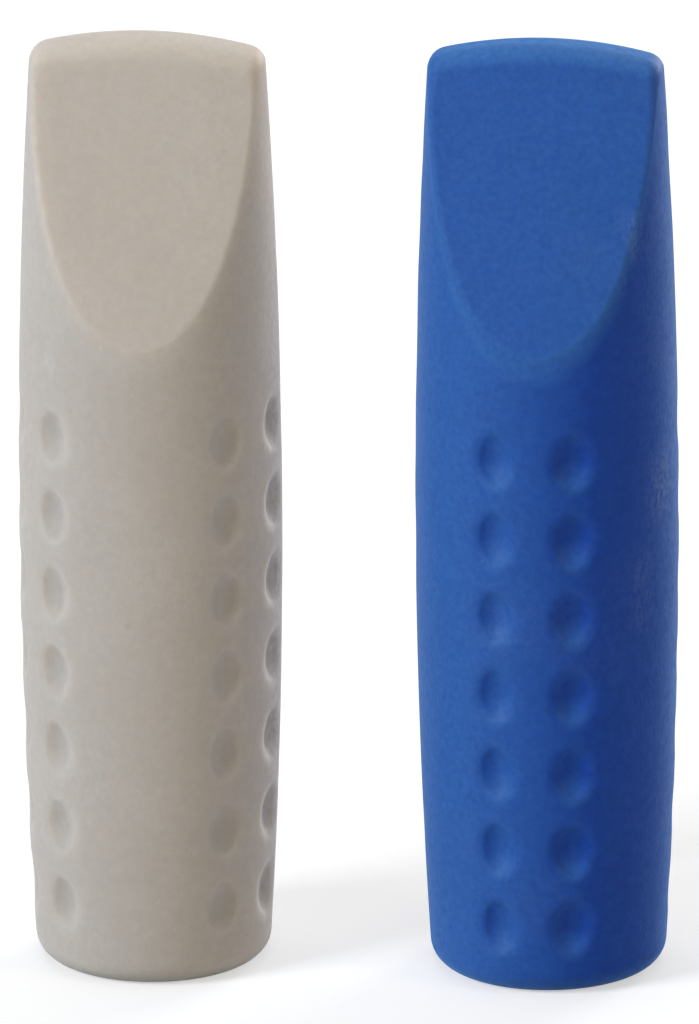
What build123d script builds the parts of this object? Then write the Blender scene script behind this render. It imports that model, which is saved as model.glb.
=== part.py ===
from build123d import *
from math import atan2, cos, radians, sin, sqrt, tan
import os

# Two alike eraser caps for pencils, one grey and one blue, standing on their open ends with +Z up.
# Sizes are in millimetres and angles in degrees.

# Barrel of a cap
LENGTH = 44.0
BELLY_DIAMETER = 12.0
BELLY_HEIGHT = 21.7
BARREL_BOW = 350.0  # radius of the side's long outward curve
RIM_FILLET = 1.2
SEAM_ANGLE = 45.0  # where the barrel's turning starts, clear of the ridge and of every dimple

# Chisel tip: two facets that close to a blunt ridge
FACET_HEIGHT = 13.25
FACET_FILLET = 0.5
RIDGE_THICKNESS = 2.4
RIDGE_CROWN = 20.0  # radius of the ridge's arc, seen from the front
RIDGE_FILLET = 1.2

# Socket that grips a pencil's end
SOCKET_DIAMETER = 7.0
SOCKET_DEPTH = 20.0
SOCKET_LEAD_IN = 0.3
SOCKET_END_FILLET = 0.5

# Grip dimples, in pairs of columns around the barrel
DIMPLE_WIDTH = 2.0
DIMPLE_HEIGHT = 2.6
DIMPLE_DEPTH = 0.45
LOWEST_ROW = 3.25  # from the rim to the middle of the back pair's lowest dimples
ROW_PITCH = 3.76
FRONT_RISE = 0.28  # how much higher the other pairs stand, beside the plain front
GRIP_CLEARANCE = 2.5  # bare skin that is kept below the facets
COLUMN_PAIRS = 3
COLUMN_SPREAD = 35.0  # angle between the two columns of a pair

# Where the two caps stand, and how far each is turned about its own axis
CAP_GAP = 6.05
STAGGER = 1.45  # how much nearer the viewer the blue cap stands
GREY_TURN = -6.5
BLUE_TURN = 173.5


def skin_radius(height):
    """Radius of the bowed barrel at a height above the rim."""
    bow_centre = BELLY_DIAMETER / 2 - BARREL_BOW
    return bow_centre + sqrt(BARREL_BOW**2 - (height - BELLY_HEIGHT) ** 2)


def dish_radius(width):
    """Radius of a dish that is as wide as given and as deep as a dimple."""
    return (width**2 / 4 + DIMPLE_DEPTH**2) / (2 * DIMPLE_DEPTH)


socket_radius = SOCKET_DIAMETER / 2
belly_radius = BELLY_DIAMETER / 2
rim_wall = skin_radius(0) - socket_radius - SOCKET_LEAD_IN
rim_fillet = min(RIM_FILLET, 0.8 * rim_wall)

facet_start = LENGTH - FACET_HEIGHT
facet_tilt = atan2(skin_radius(facet_start) - RIDGE_THICKNESS / 2, FACET_HEIGHT)
facet_run = (belly_radius - RIDGE_THICKNESS / 2) / tan(facet_tilt)
ridge_centre = LENGTH - RIDGE_CROWN

highest_row = facet_start - GRIP_CLEARANCE - DIMPLE_HEIGHT / 2 - FRONT_RISE
row_count = 1 + int((highest_row - LOWEST_ROW) / ROW_PITCH)
dish_across = dish_radius(DIMPLE_WIDTH)
dish_along = dish_radius(DIMPLE_HEIGHT)
dish_half_height = (DIMPLE_HEIGHT + ROW_PITCH) / 4
dish_end_radius = dish_across - dish_along + sqrt(dish_along**2 - dish_half_height**2)

dimple_places = []
for pair in range(COLUMN_PAIRS):
    pair_angle = 360 / COLUMN_PAIRS * (pair + 0.5) - 90
    rise = 0 if 2 * pair + 1 == COLUMN_PAIRS else FRONT_RISE
    for angle in (pair_angle - COLUMN_SPREAD / 2, pair_angle + COLUMN_SPREAD / 2):
        for row in range(row_count):
            height = LOWEST_ROW + rise + row * ROW_PITCH
            reach = skin_radius(height) - DIMPLE_DEPTH + dish_across
            spot = (reach * cos(radians(angle)), reach * sin(radians(angle)), height)
            dimple_places.append(Location(spot, (0, 0, angle)))

# The hollow of one dimple: rounder across than along, and too short to reach the next row's
with BuildPart() as dimple:
    with BuildSketch(Plane.XZ):
        with BuildLine():
            low = (dish_end_radius, -dish_half_height)
            high = (dish_end_radius, dish_half_height)
            ThreePointArc(low, (dish_across, 0), high)
            Polyline(high, (0, dish_half_height), (0, -dish_half_height), low)
        make_face()
    revolve(axis=Axis.Z)

# What the chisel tip leaves off a blank: all that lies outside a blunt wedge, seen from the side, that
# is turned about the middle of the ridge's arc, so that the ridge and the facets bulge a little
with BuildPart() as tip_waste:
    with BuildSketch(Plane.XY.offset(ridge_centre)):
        Rectangle(2 * BELLY_DIAMETER, 2 * BELLY_DIAMETER)
    extrude(amount=2 * RIDGE_CROWN)
    with BuildSketch(Plane.YZ):
        with BuildLine():
            right = [
                (belly_radius, ridge_centre),
                (belly_radius, LENGTH - facet_run),
                (RIDGE_THICKNESS / 2, LENGTH),
            ]
            left = [(-y, z) for y, z in reversed(right)]
            Polyline(*right, *left, close=True)
        make_face()
        fillet(vertices().group_by(Axis.Y)[-1], RIDGE_FILLET)
    revolve(axis=Axis((0, 0, ridge_centre), (0, 1, 0)), mode=Mode.SUBTRACT)

# One cap on the Z axis, with a facet towards -Y and one towards +Y
with BuildPart() as cap:
    # Bowed barrel
    with BuildSketch(Plane.XZ.rotated((0, 0, SEAM_ANGLE))):
        with BuildLine():
            rim = (skin_radius(0), 0)
            tip = (skin_radius(LENGTH), LENGTH)
            ThreePointArc(rim, (belly_radius, BELLY_HEIGHT), tip)
            Polyline(tip, (0, LENGTH), (0, 0), rim)
        make_face()
    revolve(axis=Axis.Z)
    fillet(edges().group_by(Axis.Z)[0], rim_fillet)

    # Blind socket, open at the rim
    with Locations(Plane.XY.rotated((180, 0, 0))):
        Hole(socket_radius, depth=SOCKET_DEPTH)
    mouth, blind_end = edges(Select.LAST).filter_by(GeomType.CIRCLE).sort_by(Axis.Z)
    fillet(blind_end, SOCKET_END_FILLET)
    chamfer(mouth, SOCKET_LEAD_IN)

    # Chisel tip
    add(tip_waste.part, mode=Mode.SUBTRACT)

    # Grip dimples
    with Locations(*dimple_places):
        add(dimple.part, mode=Mode.SUBTRACT)

    # Soft edge around the tip: the one loop where it meets the barrel
    skin = faces().sort_by(SortBy.AREA)[-1]
    fillet(skin.edges().filter_by_position(Axis.Z, facet_start, LENGTH), FACET_FILLET)

axis_spacing = BELLY_DIAMETER + CAP_GAP
os.makedirs("parts", exist_ok=True)

with BuildPart() as grey_topper:
    with Locations(Location((-axis_spacing / 2, STAGGER / 2, 0), (0, 0, GREY_TURN))):
        add(cap.part)
grey_topper.part.label = "grey_topper"
export_step(grey_topper.part, "parts/grey_topper.step")

with BuildPart() as blue_topper:
    with Locations(Location((axis_spacing / 2, -STAGGER / 2, 0), (0, 0, BLUE_TURN))):
        add(cap.part)
blue_topper.part.label = "blue_topper"
export_step(blue_topper.part, "parts/blue_topper.step")
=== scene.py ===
import math

import bpy
import numpy as np
from mathutils import Euler, Matrix, Vector


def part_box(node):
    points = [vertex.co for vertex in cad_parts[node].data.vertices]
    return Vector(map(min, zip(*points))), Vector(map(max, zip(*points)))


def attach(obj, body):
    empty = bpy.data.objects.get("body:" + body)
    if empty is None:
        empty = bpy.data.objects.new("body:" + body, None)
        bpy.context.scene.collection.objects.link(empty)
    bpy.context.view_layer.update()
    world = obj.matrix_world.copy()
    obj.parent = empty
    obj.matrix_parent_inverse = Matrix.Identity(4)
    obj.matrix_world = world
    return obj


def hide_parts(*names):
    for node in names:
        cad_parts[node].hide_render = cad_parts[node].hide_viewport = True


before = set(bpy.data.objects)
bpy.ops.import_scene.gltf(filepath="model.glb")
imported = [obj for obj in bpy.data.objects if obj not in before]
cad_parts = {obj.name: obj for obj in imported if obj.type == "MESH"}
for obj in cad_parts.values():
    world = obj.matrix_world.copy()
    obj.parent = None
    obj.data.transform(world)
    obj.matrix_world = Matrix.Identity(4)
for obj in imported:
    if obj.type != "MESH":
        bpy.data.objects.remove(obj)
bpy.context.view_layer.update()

# Two alike eraser caps that stand on a white floor. The shape of a cap is worked out in millimetres, and angles
# are in degrees.
MM = 0.001  # in metres

# Barrel of one cap, as in the CAD: its length and width come from the frame
CAP_LOW, CAP_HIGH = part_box("grey_topper")
LENGTH = (CAP_HIGH[2] - CAP_LOW[2]) / MM
BELLY_RADIUS = (CAP_HIGH[1] - CAP_LOW[1]) / MM / 2
BELLY_HEIGHT = 21.7
BARREL_BOW = 350.0  # radius of the side's long outward curve
RIM_ROUNDING = 1.2

# Chisel tip: two facets that close to a blunt ridge
FACET_HEIGHT = 13.25
FACET_ROUNDING = 0.4
CORNER_ROUNDING = 1.0  # at the two ends of the ridge
CORNER_REACH = 3.0  # how far down from the top the facets' edge is rounder
RIDGE_THICKNESS = 2.4
RIDGE_CROWN = 20.0  # radius of the ridge's arc, seen from the front
RIDGE_ROUNDING = 1.2

# Blind socket
SOCKET_RADIUS = 3.5
SOCKET_DEPTH = 20.0
SOCKET_LEAD_IN = 0.3
SOCKET_END_ROUNDING = 0.5

# Grip dimples, in pairs of columns around the barrel
DIMPLE_WIDTH = 2.0
DIMPLE_HEIGHT = 2.6
DIMPLE_DEPTH = 0.45
DIMPLE_ROUNDING = 0.65  # of a dimple's rim
DIMPLE_ROWS = 7
LOWEST_ROW = 3.25  # from the rim to the middle of the back pair's lowest dimples
FRONT_RISE = 0.28  # how much higher the other pairs stand
ROW_PITCH = 3.76
COLUMN_PAIRS = 3
COLUMN_SPREAD = 35.0  # angle between the two columns of a pair

# Mesh: how many rings of points each surface has, and how the points crowd around the dimples
COLUMNS = 276  # points in a ring
RIDGE_RINGS = 8
SIDE_RINGS = 300
RIM_RINGS = 12
SOCKET_RINGS = 30
SOCKET_END_RINGS = 6
COLUMN_CROWDING = (11.0, 1.5)  # half angle beside a column of dimples, and the extra density there
ROW_CROWDING = (1.5, 0.6)  # half height beside a row of dimples, and the extra density there
CROWDING_FADE = 6.0  # height, around the foot of the facets, over which the columns become even
SPREAD_STEPS = 4001
SETTLE_ROUNDS = 12
TINY = 1e-9  # least divisor
LEAST_SINE_SQUARED = 1e-6  # of the angle between two surfaces that meet

# Uneven skin: how far it lies from the true shape, and the number and lengths of its waves
UNEVENNESS = 0.012
UNEVEN_WAVES = 28
UNEVEN_LENGTHS = (2.5, 9.0)

# Wear and painted highlight: how far it reaches from each kind of edge, and how strong it is there, up to 1.
# The ridge and the dimples' lower lips, which face up, carry painted highlight with their wear.
TIP_REACH, TIP_WEAR = 0.45, 0.75
RIM_REACH, RIM_WEAR = 1.0, 0.5
DIMPLE_REACH, DIMPLE_WEAR = 0.3, 0.1
LIP_REACH, LIP_DUST_AND_PAINTED_HIGHLIGHT = 0.25, 0.45
LIP_FALL = 0.5  # how steeply a dimple's lower lip points down where its dust and painted highlight are full
FACET_WEAR = 0.54  # all over the facets, which are rubbed on paper
RIDGE_RISE = 0.4  # how steeply the tip points up where the ridge's full wear and painted highlight begin to show
RIDGE_FADE = 0.35

# Chalk and painted light, by bearing from the viewer towards +X: a broad haze with painted key light on one side,
# a scuffed strip with painted grazing reflection on the other
HAZE_AND_PAINTED_LIGHT_SIDE = -65.0
HAZE_AND_PAINTED_LIGHT_GAIN = 1.25
HAZE_AND_PAINTED_LIGHT_CUT = 0.15
# The strip is chalk with painted grazing reflection along that side; in its dimples it paints light into their
# shade.
SCUFF_AND_PAINTED_LIGHT_SIDE = 84.0
SCUFF_AND_PAINTED_LIGHT_HALF_ANGLE = 20.0
SCUFF_AND_PAINTED_LIGHT_STRENGTH = 0.55
DIMPLE_CHALK_AND_PAINTED_LIGHT_REACH = 0.35  # how far around a dimple the strip's chalk grows full, painting light into the dimple's shade

# Patterns in the rubber, with scales in features per metre. Each is shifted, so that no two coincide.
CLOUDS = {"scale": 260, "detail": 2.0, "roughness": 0.5}
CRUMBS = {"scale": 2200, "detail": 4.0, "roughness": 0.65, "shift": (0.3, 0.1, 0.2)}
DUSTING = {"scale": 3400, "detail": 4.0, "roughness": 0.6, "shift": (0.7, 0.2, 0.5)}
SCUFF_PATCHES = {"scale": 130, "detail": 1.0, "roughness": 0.5, "shift": (0.15, 0.4, 0.05)}
STREAKS = {"scale": 4000, "detail": 4.0, "roughness": 0.7, "shift": (0.9, 0.6, 0.1), "stretch": (1, 1, 0.7)}
GRAIN = {"scale": 5200, "detail": 3.0, "roughness": 0.6, "shift": (0.4, 0.8, 0.6)}
PITS = {"scale": 420, "radius": 0.08, "share": 0.45, "shift": (0.21, 0.37, 0.11)}
SPECKS = {"scale": 420, "radius": 0.045, "share": 0.3, "shift": (0.53, 0.17, 0.29)}
SPOT_CORE = 0.35  # share of a spot's radius that is full
SPOT_FADE = 0.05  # softens the choice of cells that have a spot

# How the patterns show: shares, and spans as (low, high, what low becomes, what high becomes)
CLOUD_SHARE = 0.25
MOTTLE_SPAN = (0.5 - 0.16, 0.5 + 0.16, 0, 1)
DUSTING_SPAN = (0.3, 0.7, 0.6, 1)
SCUFF_PATCH_SPAN = (0.55, 0.75, 0, 0.2)
STREAK_SPAN = (0.38, 0.72, 0, 1)
FINISH_SPAN = (0.3, 0.7, 0.64, 0.52)
PIT_SHARE = 0.15
SPECK_SHARE = 0.35
GRAIN_BUMP = (0.00004, 0.35)  # height in metres, and strength
CRUMB_BUMP = (0.00008, 0.25)
PIT_BUMP = (0.00003, 0.5)
SHEEN_ROUGHNESS = 0.5
SCATTER_RADIUS = (1.0, 0.8, 0.65)
SCATTER_SCALE = 0.002

# Each rubber: deep and light are the ends of its mottling, dust is its colour where it is worn or has painted
# highlight, the haze colour that of its haze with painted key light, chalk that of its scuffs with painted
# reflection and pit that of its pits. Shares say how far wear, haze and scuffs, with their painted light, cover
# it.
GREY_LOOK = {
    "deep": (0.488, 0.432, 0.378),
    "light": (0.538, 0.478, 0.420),
    "dust_and_painted_highlight": (0.665, 0.62, 0.555),
    "haze_and_painted_light_colour": (0.48, 0.53, 0.55),
    "chalk_and_painted_light": (0.72, 0.70, 0.66),
    "pit": (0.30, 0.265, 0.23),
    "wear_and_painted_highlight_share": 0.30,
    "haze_and_painted_light_share": 0.20,
    "scuff_and_painted_light_share": 0.80,
    "gloss": 0.12,
    "sheen": 0.04,
    "sheen_tint": (1.0, 1.0, 1.0),
    "scatter": 0.8,
}
BLUE_LOOK = {
    "deep": (0.003, 0.036, 0.262),
    "light": (0.005, 0.049, 0.322),
    "dust_and_painted_highlight": (0.060, 0.220, 0.50),
    "haze_and_painted_light_colour": (0.065, 0.23, 0.54),
    "chalk_and_painted_light": (0.22, 0.29, 0.47),
    "pit": (0.003, 0.03, 0.17),
    "wear_and_painted_highlight_share": 0.58,
    "haze_and_painted_light_share": 0.40,
    "scuff_and_painted_light_share": 0.40,
    "gloss": 0.18,
    "sheen": 0.3,
    "sheen_tint": (0.1, 0.45, 0.9),
    "scatter": 0.0,
}

# The two caps: turn is about a cap's own axis, and patches of scuffs are given as (bearing, height, half angle,
# half height, strength)
CAPS = [
    {
        "name": "grey_eraser_cap",
        "node": "grey_topper",
        "slot": "grey_rubber",
        "turn": -6.5,
        "look": GREY_LOOK,
        "patches": [(-50, 29.5, 3.5, 0.35, 0.6)],
        "seed": 11,
    },
    {
        "name": "blue_eraser_cap",
        "node": "blue_topper",
        "slot": "blue_rubber",
        "turn": 173.5,
        "look": BLUE_LOOK,
        "patches": [(60, 23.9, 9, 1.6, 0.9), (46, 19.0, 7, 2.0, 0.4), (44, 36.1, 4, 1.1, 0.7)],
        "seed": 23,
    },
]

# Floor: its light level is 1 to the camera where no shadow falls, and it throws back less than it shows
FLOOR_SIZE = 8  # in metres
FLOOR_GLOW = 0.5
FLOOR_COLOUR = (0.6, 0.6, 0.6, 1)

# Light. A lamp has a name, a bearing from the camera's side towards +X, a height angle, the side of its square in
# metres, a level and a colour.
AMBIENT = 0.02
LAMP_DISTANCE = 1.0  # in metres
LAMPS = [
    ("key", -61, 29, 0.35, 0.76, (0.94, 0.99, 1.07)),
    ("front", 15, 30, 0.90, 0.165, (1.06, 1.02, 0.87)),
    ("right", 62, 25, 0.30, 0.18, (1.10, 1.03, 0.83)),
    ("top", 180, 73, 0.80, 0.42, (1.00, 1.00, 1.00)),
    ("rim", 143, 14, 0.40, 0.55, (1.01, 1.00, 0.99)),
]

# Camera
AIM = (0.03, 0.0, 21.34)
ELEVATION = 18.5
ROLL = 0.33
LENS = 1000.0
SENSOR_WIDTH = 36.0
FRAME_HEIGHT = 1024  # pixels along the sensor's width, as the frame is upright
PIXELS_PER_MM = 21.96
CLIP_START, CLIP_END = 0.05, 10  # in metres


def skin_radius(z):
    """Radius of the bowed barrel at a height above the rim."""
    return BELLY_RADIUS - BARREL_BOW + np.sqrt(BARREL_BOW**2 - (z - BELLY_HEIGHT) ** 2)


def dish_radius(width):
    """Radius of a dish that is as wide as given and as deep as a dimple."""
    return (width**2 / 4 + DIMPLE_DEPTH**2) / (2 * DIMPLE_DEPTH)


RIDGE_CENTRE = LENGTH - RIDGE_CROWN
FACET_START = LENGTH - FACET_HEIGHT
FACET_SLOPE = (skin_radius(FACET_START) - RIDGE_THICKNESS / 2) / FACET_HEIGHT
FACET_LEAN = math.cos(math.atan(FACET_SLOPE))
DISH_ACROSS = dish_radius(DIMPLE_WIDTH)
DISH_ALONG = dish_radius(DIMPLE_HEIGHT)
ROW_HEIGHTS = LOWEST_ROW + FRONT_RISE / 2 + ROW_PITCH * np.arange(DIMPLE_ROWS)
PAIR_ANGLES = 360 / COLUMN_PAIRS * (np.arange(COLUMN_PAIRS) + 0.5)
COLUMN_ANGLES = np.sort(np.concatenate([PAIR_ANGLES - COLUMN_SPREAD / 2, PAIR_ANGLES + COLUMN_SPREAD / 2]))
COLUMN_RISES = np.where(np.abs(COLUMN_ANGLES - 180) < 180 / COLUMN_PAIRS, 0, FRONT_RISE)


def facet_distance_at(height):
    """How far a facet lies from the cap's axis, where the ridge's arc is that high."""
    return RIDGE_THICKNESS / 2 + FACET_SLOPE * (LENGTH - height)


def rolled(first, second, radius):
    """The larger of two distances, each given with its outward direction, where the edge between them is
    rolled to a radius. Returns the distance and its outward direction."""
    a, a_out = first
    b, b_out = second
    cosine = (a_out * b_out).sum(axis=1)
    sine_squared = np.maximum(1 - cosine**2, LEAST_SINE_SQUARED)
    a_share = (a + radius - cosine * (b + radius)) / sine_squared
    b_share = (b + radius - cosine * (a + radius)) / sine_squared
    corner = a_out * a_share[:, None] + b_out * b_share[:, None]
    reach = np.maximum(np.linalg.norm(corner, axis=1), TINY)
    on_roll = (a_share > 0) & (b_share > 0)
    distance = np.where(on_roll, reach - radius, np.maximum(a, b))
    out = np.where((a > b)[:, None], a_out, b_out)
    return distance, np.where(on_roll[:, None], corner / reach[:, None], out)


def turned_out(shape):
    """The same surface with its outside and inside exchanged."""
    return -shape[0], -shape[1]


def barrel(x, y, z):
    """The bowed side, without its dimples."""
    out = np.hypot(x, y)
    lean = (z - BELLY_HEIGHT) / np.sqrt(BARREL_BOW**2 - (z - BELLY_HEIGHT) ** 2)
    steep = np.hypot(1, lean)
    turn = np.maximum(out, TINY) * steep
    return (out - skin_radius(z)) / steep, np.stack([x / turn, y / turn, lean / steep], axis=1)


def chisel(x, y, z):
    """The two facets and the ridge, both turned about the middle of the ridge's arc."""
    rise = np.maximum(z - RIDGE_CENTRE, 0)
    from_ridge = np.maximum(np.hypot(x, rise), TINY)
    across, up = x / from_ridge, rise / from_ridge
    ridge = from_ridge - RIDGE_CROWN, np.stack([across, 0 * y, up], axis=1)
    facets = (np.abs(y) - facet_distance_at(RIDGE_CENTRE + from_ridge)) * FACET_LEAN
    facets_out = np.stack([across * FACET_SLOPE, np.sign(y), up * FACET_SLOPE], axis=1) * FACET_LEAN
    return rolled(ridge, (facets, facets_out), RIDGE_ROUNDING)


def nearest_dimple(x, y, z):
    """The dish of the dimple that is nearest to each point."""
    angle = np.degrees(np.arctan2(x, -y)) % 360
    gap = (angle[:, None] - COLUMN_ANGLES + 180) % 360 - 180
    column = np.abs(gap).argmin(axis=1)
    turn = np.radians(COLUMN_ANGLES[column])
    lowest = LOWEST_ROW + COLUMN_RISES[column]
    height = lowest + ROW_PITCH * np.clip(np.round((z - lowest) / ROW_PITCH), 0, DIMPLE_ROWS - 1)
    reach = skin_radius(height) - DIMPLE_DEPTH + DISH_ACROSS
    out_x, out_y = x - reach * np.sin(turn), y + reach * np.cos(turn)
    out = np.maximum(np.hypot(out_x, out_y), TINY)
    wide = out + DISH_ALONG - DISH_ACROSS
    away = np.hypot(wide, z - height)
    direction = np.stack([out_x / out * wide, out_y / out * wide, z - height], axis=1) / away[:, None]
    return away - DISH_ALONG, direction


def socket(x, y, z):
    """The hollow that takes a pencil's end."""
    out = np.maximum(np.hypot(x, y), TINY)
    wall = out - SOCKET_RADIUS, np.stack([x / out, y / out, 0 * z], axis=1)
    end = z - SOCKET_DEPTH, np.stack([0 * x, 0 * y, 1 + 0 * z], axis=1)
    return rolled(wall, end, SOCKET_END_ROUNDING)


def cap_skin(points):
    """Distance from points to the skin of a cap on the Z axis, negative inside the rubber, and the
    outward direction there."""
    x, y, z = points.T
    rim_plane = -z, np.stack([0 * x, 0 * y, -1 + 0 * z], axis=1)
    corner = np.clip((z - LENGTH + CORNER_REACH) / CORNER_REACH, 0, 1)
    roundness = FACET_ROUNDING + (CORNER_ROUNDING - FACET_ROUNDING) * corner**2 * (3 - 2 * corner)
    body = rolled(barrel(x, y, z), chisel(x, y, z), roundness)
    body = rolled(body, rim_plane, RIM_ROUNDING)
    body = rolled(body, turned_out(nearest_dimple(x, y, z)), DIMPLE_ROUNDING)
    return rolled(body, turned_out(socket(x, y, z)), SOCKET_LEAD_IN)


def settle(points):
    """Moves points along the outward direction until they lie on the skin."""
    for _ in range(SETTLE_ROUNDS):
        distance, out = cap_skin(points)
        points = points - distance[:, None] * out
    return points


def spread(low, high, count, centres, width, extra):
    """Values from low to high that lie closer together around the centres."""
    fine = np.linspace(low, high, SPREAD_STEPS)
    density = np.ones_like(fine)
    for centre in centres:
        density += extra * np.exp(-(((fine - centre) / width) ** 4))
    share = np.cumsum(density)
    share = (share - share[0]) / (share[-1] - share[0])
    return np.interp(np.linspace(0, 1, count), share, fine)


def section(shares, z):
    """Points around the cap's section at height z: a circle, or one that the two facets cut flat.
    A share runs from 0 at the middle of the front, through 0.25 on the right, to 1."""
    radius = skin_radius(z)
    facet = np.minimum(facet_distance_at(z), radius)
    flat = np.sqrt(radius**2 - facet**2)
    start = np.arccos(facet / radius)
    quarter = flat + radius * (math.pi / 2 - start)
    turn = (shares * 4) % 4
    along = np.where(turn % 2 < 1, turn % 2, 2 - turn % 2) * quarter
    angle = start + np.maximum(along - flat, 0) / radius
    x = np.where(along < flat, along, radius * np.sin(angle))
    y = np.where(along < flat, facet, radius * np.cos(angle))
    return x * np.where(turn < 2, 1, -1), y * np.where((turn < 1) | (turn >= 3), -1, 1)


def cap_mesh():
    """Vertices in millimetres and faces of one cap on the Z axis, facets to -Y and +Y."""
    even = np.arange(COLUMNS) / COLUMNS
    packed = spread(0, 360, COLUMNS + 1, COLUMN_ANGLES, *COLUMN_CROWDING)[:-1] / 360
    heights = spread(LENGTH, 0, SIDE_RINGS, ROW_HEIGHTS, *ROW_CROWDING)
    rings = []

    # Ridge, from its middle line out to its edge
    edge_x, edge_y = section(even, np.full(COLUMNS, LENGTH))
    spine = 1 - RIDGE_THICKNESS / 2 / edge_x.max()
    for out in np.linspace(0, 1, RIDGE_RINGS, endpoint=False):
        x = edge_x * (spine + (1 - spine) * out)
        z = RIDGE_CENTRE + np.sqrt(RIDGE_CROWN**2 - x**2)
        rings.append(np.stack([x, edge_y * out, z], axis=1))

    # Side, from the ridge's edge down to the rim
    sag = RIDGE_CROWN - np.sqrt(RIDGE_CROWN**2 - edge_x**2)
    for height in heights:
        packing = np.clip((FACET_START + CROWDING_FADE / 2 - height) / CROWDING_FADE, 0, 1)
        rise = np.clip((height - FACET_START) / FACET_HEIGHT, 0, 1)
        z = height - sag * rise**2
        x, y = section(even + (packed - even) * packing, z)
        rings.append(np.stack([x, y, z], axis=1))

    # Rim, socket wall and socket end
    turn = packed * 2 * math.pi
    circle = np.stack([np.sin(turn), -np.cos(turn)], axis=1)
    for out in np.linspace(skin_radius(0.0), SOCKET_RADIUS, RIM_RINGS)[1:]:
        rings.append(np.column_stack([circle * out, np.zeros(COLUMNS)]))
    for height in np.linspace(0, SOCKET_DEPTH, SOCKET_RINGS)[1:]:
        rings.append(np.column_stack([circle * SOCKET_RADIUS, np.full(COLUMNS, height)]))
    for out in np.linspace(SOCKET_RADIUS, 0, SOCKET_END_RINGS + 1)[1:-1]:
        rings.append(np.column_stack([circle * out, np.full(COLUMNS, SOCKET_DEPTH)]))

    # The front half and the back half share the vertices of the ridge's middle line
    column = np.arange(COLUMNS)
    mirrored = (COLUMNS // 2 - column) % COLUMNS
    index = np.arange(len(rings) * COLUMNS).reshape(len(rings), COLUMNS)
    index[0] = np.minimum(column, mirrored)
    kept, index = np.unique(index, return_inverse=True)
    index = index.reshape(len(rings), COLUMNS)

    # One more vertex closes the socket's end
    vertices = np.concatenate([np.concatenate(rings)[kept], [[0, 0, SOCKET_DEPTH]]])
    last = len(vertices) - 1
    after = np.roll(index, -1, axis=1)
    faces = np.stack([index[:-1], index[1:], after[1:], after[:-1]], axis=-1).reshape(-1, 4).tolist()
    faces += [[a, last, b] for a, b in zip(index[-1].tolist(), after[-1].tolist())]
    return settle(vertices), faces


def on_tip(points):
    """1 for points on the facets or the ridge, and 0 for points away from them."""
    return np.clip(1 + 2 * chisel(*points.T)[0] / TIP_REACH, 0, 1)


def edge_wear_and_painted_highlight(points):
    """How worn or dusty points are, with painted highlight, from 0 to 1: the tip, with painted highlight where
    its ridge faces up, the rim, and the rims and lower lips of the dimples, with painted highlight on the lips,
    which face up."""
    x, y, z = points.T
    side = barrel(x, y, z)[0]
    tip, tip_out = chisel(x, y, z)
    dish, dish_out = nearest_dimple(x, y, z)
    tip_edge = 1 - np.maximum(-side, -tip) / TIP_REACH
    rim_edge = 1 - np.maximum(-side, z) / RIM_REACH
    dimple_edge = 1 - np.maximum(-side, dish) / DIMPLE_REACH
    # Painted highlight with dust on the dimples' lower lips, which face up
    lip = np.clip(1 - dish / LIP_REACH, 0, 1) * np.clip(-dish_out[:, 2] / LIP_FALL, 0, 1)
    # Painted highlight with wear where the tip faces up
    ridge = np.clip((tip_out[:, 2] - RIDGE_RISE) / RIDGE_FADE, 0, 1)
    tip_all = on_tip(points) * (FACET_WEAR + (1 - FACET_WEAR) * ridge)
    edges = [tip_edge * TIP_WEAR, rim_edge * RIM_WEAR, dimple_edge * DIMPLE_WEAR, lip * LIP_DUST_AND_PAINTED_HIGHLIGHT]
    return np.clip(np.stack([tip_all, *edges]).max(axis=0), 0, 1)


def bearing(points, turn):
    """Bearings of points or directions from the viewer towards +X, on a cap turned that far."""
    return np.degrees(np.arctan2(points[:, 0], -points[:, 1])) + turn


def haze_and_painted_light(points, turn):
    """How much chalky haze and painted key light lie on points of a cap turned that far, from 0 to 1, by where
    they lie
    and the way they face: more where they face the key lamp. The tip is rubbed clean of it and has none of the
    painted light."""
    out = cap_skin(points)[1]
    lying = np.cos(np.radians(bearing(points, turn) - HAZE_AND_PAINTED_LIGHT_SIDE))
    facing = np.cos(np.radians(bearing(out, turn) - HAZE_AND_PAINTED_LIGHT_SIDE)) * np.hypot(out[:, 0], out[:, 1])
    return np.clip(HAZE_AND_PAINTED_LIGHT_GAIN * np.minimum(lying, facing) - HAZE_AND_PAINTED_LIGHT_CUT, 0, 1) * (1 - on_tip(points))


def scuffing_and_painted_light(points, turn, patches):
    """How scuffed points of a cap turned that far are, from 0 to 1, with painted light: a long strip of chalk
    with painted grazing reflection, fuller in its dimples where it lifts their shade, and some scuff patches.
    """
    # Painted light: the strip grows full in its dimples, lifting their shade, besides chalk
    in_dimple = np.clip(1 - nearest_dimple(*points.T)[0] / DIMPLE_CHALK_AND_PAINTED_LIGHT_REACH, 0, 1)
    strip_strength = SCUFF_AND_PAINTED_LIGHT_STRENGTH + (1 - SCUFF_AND_PAINTED_LIGHT_STRENGTH) * in_dimple
    strip = (SCUFF_AND_PAINTED_LIGHT_SIDE, LENGTH / 2, SCUFF_AND_PAINTED_LIGHT_HALF_ANGLE, LENGTH / 2, strip_strength)
    total = np.zeros(len(points))
    for side, height, half_angle, half_height, strength in patches + [strip]:
        across = ((bearing(points, turn) - side + 180) % 360 - 180) / half_angle
        along = (points[:, 2] - height) / half_height
        total += strength * np.exp(-across**2 - along**4)
    return np.clip(total, 0, 1)


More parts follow.
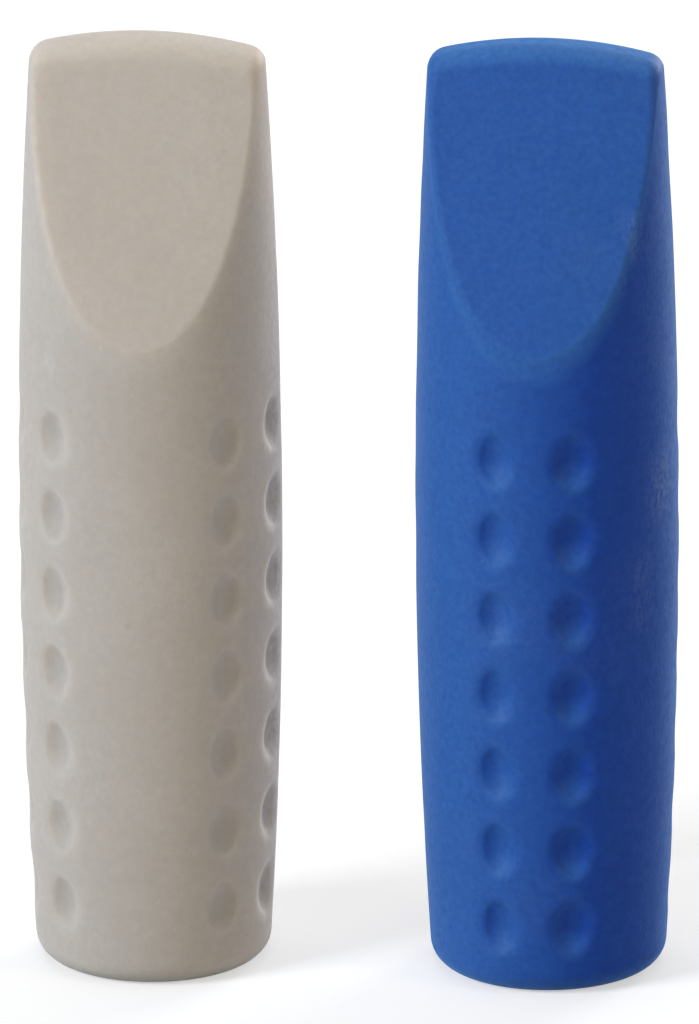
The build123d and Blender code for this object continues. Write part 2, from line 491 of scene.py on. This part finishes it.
def uneven(points, seed):
    """Points moved in a little here and there, as a moulded rubber skin is never quite true."""
    chance = np.random.default_rng(seed)
    out = cap_skin(points)[1]
    shift = np.zeros(len(points))
    for _ in range(UNEVEN_WAVES):
        way = chance.normal(size=3)
        way *= 2 * math.pi / (np.linalg.norm(way) * chance.uniform(*UNEVEN_LENGTHS))
        shift += np.sin(points @ way + chance.uniform(0, 2 * math.pi))
    shift *= UNEVENNESS / math.sqrt(UNEVEN_WAVES / 2)
    above_rim = np.clip(points[:, 2] / RIM_ROUNDING, 0, 1)
    below_top = np.clip((LENGTH - points[:, 2]) / RIDGE_ROUNDING, 0, 1)
    return points + out * np.minimum(shift * (above_rim * below_top), 0)[:, None]


class Nodes:
    """Short names for the nodes of one material."""

    COLOUR_INPUTS = (6, 7)  # of a mix node that blends colours
    COLOUR_OUTPUT = 2

    def __init__(self, material):
        material.use_nodes = True
        self.tree = material.node_tree
        self.shader = self.tree.nodes["Principled BSDF"]
        self.place = self.tree.nodes.new("ShaderNodeTexCoord").outputs["Object"]

    def link(self, source, target):
        self.tree.links.new(source, target)

    def moved(self, shift, stretch):
        """Places in the material, shifted and stretched."""
        node = self.tree.nodes.new("ShaderNodeMapping")
        node.inputs["Scale"].default_value = stretch
        node.inputs["Location"].default_value = shift
        self.link(self.place, node.inputs["Vector"])
        return node.outputs["Vector"]

    def noise(self, scale, detail, roughness, shift=(0, 0, 0), stretch=(1, 1, 1)):
        node = self.tree.nodes.new("ShaderNodeTexNoise")
        node.inputs["Scale"].default_value = scale
        node.inputs["Detail"].default_value = detail
        node.inputs["Roughness"].default_value = roughness
        self.link(self.moved(shift, stretch), node.inputs["Vector"])
        return node.outputs["Fac"]

    def spots(self, scale, radius, share, shift):
        """Small round spots at random places, 1 in their middles: a share of the cells has one."""
        cells = self.tree.nodes.new("ShaderNodeTexVoronoi")
        cells.inputs["Scale"].default_value = scale
        self.link(self.moved(shift, (1, 1, 1)), cells.inputs["Vector"])
        middle = self.span(cells.outputs["Distance"], radius, radius * SPOT_CORE, 0, 1)
        pick = self.tree.nodes.new("ShaderNodeSeparateColor")
        self.link(cells.outputs["Color"], pick.inputs["Color"])
        chosen = self.span(pick.outputs["Red"], 1 - share, 1 - share + SPOT_FADE, 0, 1)
        return self.times(middle, chosen)

    def span(self, value, low, high, low_to, high_to):
        """A value's range stretched to another, and held at its ends."""
        node = self.tree.nodes.new("ShaderNodeMapRange")
        node.inputs["From Min"].default_value = low
        node.inputs["From Max"].default_value = high
        node.inputs["To Min"].default_value = low_to
        node.inputs["To Max"].default_value = high_to
        self.link(value, node.inputs["Value"])
        return node.outputs["Result"]

    def math(self, operation, a, b):
        node = self.tree.nodes.new("ShaderNodeMath")
        node.operation = operation
        for socket_in, value in zip(node.inputs, (a, b)):
            if isinstance(value, (int, float)):
                socket_in.default_value = value
            else:
                self.link(value, socket_in)
        return node.outputs["Value"]

    def times(self, a, b):
        return self.math("MULTIPLY", a, b)

    def blend(self, share, a, b):
        """Colour a where the share is 0 and colour b where it is 1."""
        node = self.tree.nodes.new("ShaderNodeMix")
        node.data_type = "RGBA"
        self.link(share, node.inputs["Factor"])
        for number, colour in zip(self.COLOUR_INPUTS, (a, b)):
            if isinstance(colour, tuple):
                node.inputs[number].default_value = (*colour, 1)
            else:
                self.link(colour, node.inputs[number])
        return node.outputs[self.COLOUR_OUTPUT]

    def stored(self, name):
        """A value that the mesh keeps at each vertex."""
        node = self.tree.nodes.new("ShaderNodeAttribute")
        node.attribute_name = name
        return node.outputs["Fac"]

    def bump(self, height, distance, strength, under=None):
        node = self.tree.nodes.new("ShaderNodeBump")
        node.inputs["Distance"].default_value = distance
        node.inputs["Strength"].default_value = strength
        self.link(height, node.inputs["Height"])
        if under is not None:
            self.link(under, node.inputs["Normal"])
        return node.outputs["Normal"]


def rubber(name, look):
    """Matte eraser rubber."""
    material = bpy.data.materials.new(name)
    make = Nodes(material)

    # Mottling: broad clouds with finer crumbs in them
    clouds = make.noise(**CLOUDS)
    crumbs = make.noise(**CRUMBS)
    mottle = make.math("ADD", make.times(clouds, CLOUD_SHARE), make.times(crumbs, 1 - CLOUD_SHARE))
    colour = make.blend(make.span(mottle, *MOTTLE_SPAN), look["deep"], look["light"])

    # Dust where it is rubbed, with painted highlight; haze with painted key light on one side; fine scuffs with
    # painted reflection on the other, and fine scuffs in faint patches all over
    dusting = make.span(make.noise(**DUSTING), *DUSTING_SPAN)
    # Painted highlight on the ridge and the dimples' lower lips, with dust where it is rubbed
    worn_and_painted_highlight = make.times(make.times(make.stored("wear_and_painted_highlight"), dusting), look["wear_and_painted_highlight_share"])
    colour = make.blend(worn_and_painted_highlight, colour, look["dust_and_painted_highlight"])
    # Painted key light: a lighter, cooler colour where the skin faces the key lamp, with chalky haze
    haze_and_painted_light_amount = make.times(make.times(make.stored("haze_and_painted_light"), dusting), look["haze_and_painted_light_share"])
    colour = make.blend(haze_and_painted_light_amount, colour, look["haze_and_painted_light_colour"])
    patches = make.span(make.noise(**SCUFF_PATCHES), *SCUFF_PATCH_SPAN)
    # Painted grazing reflection along one side and painted light in its dimples, with chalk scuffs
    scuffed_and_painted_light = make.math("ADD", make.stored("scuff_and_painted_light"), patches)
    streaks = make.span(make.noise(**STREAKS), *STREAK_SPAN)
    scuffs_and_painted_light = make.times(make.times(scuffed_and_painted_light, streaks), look["scuff_and_painted_light_share"])
    colour = make.blend(scuffs_and_painted_light, colour, look["chalk_and_painted_light"])

    # Pits and pale specks
    pits = make.spots(**PITS)
    colour = make.blend(make.times(pits, PIT_SHARE), colour, look["pit"])
    specks = make.spots(**SPECKS)
    colour = make.blend(make.times(specks, SPECK_SHARE), colour, look["dust_and_painted_highlight"])
    make.link(colour, make.shader.inputs["Base Color"])

    # Dry, slightly uneven finish
    make.link(make.span(crumbs, *FINISH_SPAN), make.shader.inputs["Roughness"])
    make.shader.inputs["Specular IOR Level"].default_value = look["gloss"]
    make.shader.inputs["Sheen Weight"].default_value = look["sheen"]
    make.shader.inputs["Sheen Roughness"].default_value = SHEEN_ROUGHNESS
    make.shader.inputs["Sheen Tint"].default_value = (*look["sheen_tint"], 1)
    make.shader.inputs["Subsurface Weight"].default_value = look["scatter"]
    make.shader.inputs["Subsurface Radius"].default_value = SCATTER_RADIUS
    make.shader.inputs["Subsurface Scale"].default_value = SCATTER_SCALE

    # Fine grain, crumbs and pits in relief
    skin = make.bump(make.noise(**GRAIN), *GRAIN_BUMP)
    skin = make.bump(crumbs, *CRUMB_BUMP, under=skin)
    skin = make.bump(make.math("SUBTRACT", 1.0, pits), *PIT_BUMP, under=skin)
    make.link(skin, make.shader.inputs["Normal"])
    return material


def build_cap(vertices, faces, name, node, slot, turn, look, patches, seed):
    """One cap, turned about its axis and set where the frame has its node."""
    low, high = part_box(node)
    place = Matrix.Translation(((low[0] + high[0]) / 2, (low[1] + high[1]) / 2, low[2]))
    place = place @ Matrix.Rotation(math.radians(turn), 4, "Z") @ Matrix.Scale(MM, 4)
    mesh = bpy.data.meshes.new(name)
    mesh.from_pydata(uneven(vertices, seed).tolist(), [], faces)
    mesh.transform(place)
    # Wear with painted highlight, haze with painted key light and scuffs with painted reflection, kept at each
    # vertex
    stored = {
        "wear_and_painted_highlight": edge_wear_and_painted_highlight(vertices),
        "haze_and_painted_light": haze_and_painted_light(vertices, turn),
        "scuff_and_painted_light": scuffing_and_painted_light(vertices, turn, patches),
    }
    for label, values in stored.items():
        mesh.attributes.new(label, "FLOAT", "POINT").data.foreach_set("value", values)
    mesh.polygons.foreach_set("use_smooth", [True] * len(mesh.polygons))
    mesh.materials.append(rubber(slot, look))
    cap = bpy.data.objects.new(name, mesh)
    bpy.context.collection.objects.link(cap)
    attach(cap, node)
    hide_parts(node)


def seen_directly(tree):
    """1 for rays from the camera and for reflected or refracted rays, 0 for the rest."""
    rays = tree.nodes.new("ShaderNodeLightPath").outputs
    seen = rays["Is Camera Ray"]
    for kind in ("Is Glossy Ray", "Is Transmission Ray"):
        either = tree.nodes.new("ShaderNodeMath")
        either.operation = "MAXIMUM"
        tree.links.new(seen, either.inputs[0])
        tree.links.new(rays[kind], either.inputs[1])
        seen = either.outputs[0]
    return seen


def build_floor():
    """A white floor, which belongs to the stage."""
    bpy.ops.mesh.primitive_plane_add(size=FLOOR_SIZE)
    floor = bpy.context.object
    floor.name = "floor"
    paper = bpy.data.materials.new("white_paper")
    paper.use_nodes = True
    tree = paper.node_tree
    tree.nodes.remove(tree.nodes["Principled BSDF"])
    matte = tree.nodes.new("ShaderNodeBsdfDiffuse")
    matte.inputs["Color"].default_value = FLOOR_COLOUR
    scaled = tree.nodes.new("ShaderNodeMath")
    scaled.operation = "MULTIPLY"
    scaled.inputs[1].default_value = FLOOR_GLOW
    tree.links.new(seen_directly(tree), scaled.inputs[0])
    glow = tree.nodes.new("ShaderNodeEmission")
    tree.links.new(scaled.outputs[0], glow.inputs["Strength"])
    both = tree.nodes.new("ShaderNodeAddShader")
    tree.links.new(matte.outputs[0], both.inputs[0])
    tree.links.new(glow.outputs[0], both.inputs[1])
    tree.links.new(both.outputs[0], tree.nodes["Material Output"].inputs["Surface"])
    floor.data.materials.append(paper)


def light_world():
    """A world that looks white and lights the caps only a little."""
    world = bpy.data.worlds.new("studio")
    bpy.context.scene.world = world
    world.use_nodes = True
    tree = world.node_tree
    strength = tree.nodes.new("ShaderNodeMapRange")
    strength.inputs["To Min"].default_value = AMBIENT
    strength.inputs["To Max"].default_value = 1.0
    tree.links.new(seen_directly(tree), strength.inputs["Value"])
    background = tree.nodes["Background"]
    background.inputs["Color"].default_value = (1, 1, 1, 1)
    tree.links.new(strength.outputs["Result"], background.inputs["Strength"])


def light_lamp(name, side, height, size, level, colour):
    """A square lamp that shines on the caps. Level 1 lights a facing white surface to white."""
    light = bpy.data.lights.new(name, "AREA")
    light.size = size
    light.color = colour
    light.energy = level * math.pi**2 * LAMP_DISTANCE**2
    lamp = bpy.data.objects.new(name, light)
    bpy.context.collection.objects.link(lamp)
    around, up = math.radians(side), math.radians(height)
    towards = Vector((math.sin(around) * math.cos(up), -math.cos(around) * math.cos(up), math.sin(up)))
    lamp.location = towards * LAMP_DISTANCE
    lamp.rotation_euler = towards.to_track_quat("Z", "Y").to_euler()


def aim_camera():
    """A camera with a long lens, far enough away for the photograph's scale."""
    camera_data = bpy.data.cameras.new("camera")
    camera_data.lens = LENS
    camera_data.sensor_width = SENSOR_WIDTH
    camera_data.clip_start, camera_data.clip_end = CLIP_START, CLIP_END
    camera = bpy.data.objects.new("camera", camera_data)
    bpy.context.collection.objects.link(camera)
    distance = FRAME_HEIGHT / PIXELS_PER_MM * MM * LENS / SENSOR_WIDTH
    lift = math.radians(ELEVATION)
    back = Vector((0, -math.cos(lift), math.sin(lift)))
    camera.location = Vector(AIM) * MM + back * distance
    camera.rotation_mode = "QUATERNION"
    roll = Euler((0, 0, math.radians(-ROLL))).to_quaternion()
    camera.rotation_quaternion = (-back).to_track_quat("-Z", "Y") @ roll
    bpy.context.scene.camera = camera


cap_vertices, cap_faces = cap_mesh()
for cap_values in CAPS:
    build_cap(cap_vertices, cap_faces, **cap_values)
build_floor()
light_world()
for lamp_values in LAMPS:
    light_lamp(*lamp_values)
aim_camera()
bpy.context.scene.view_settings.view_transform = "Standard"
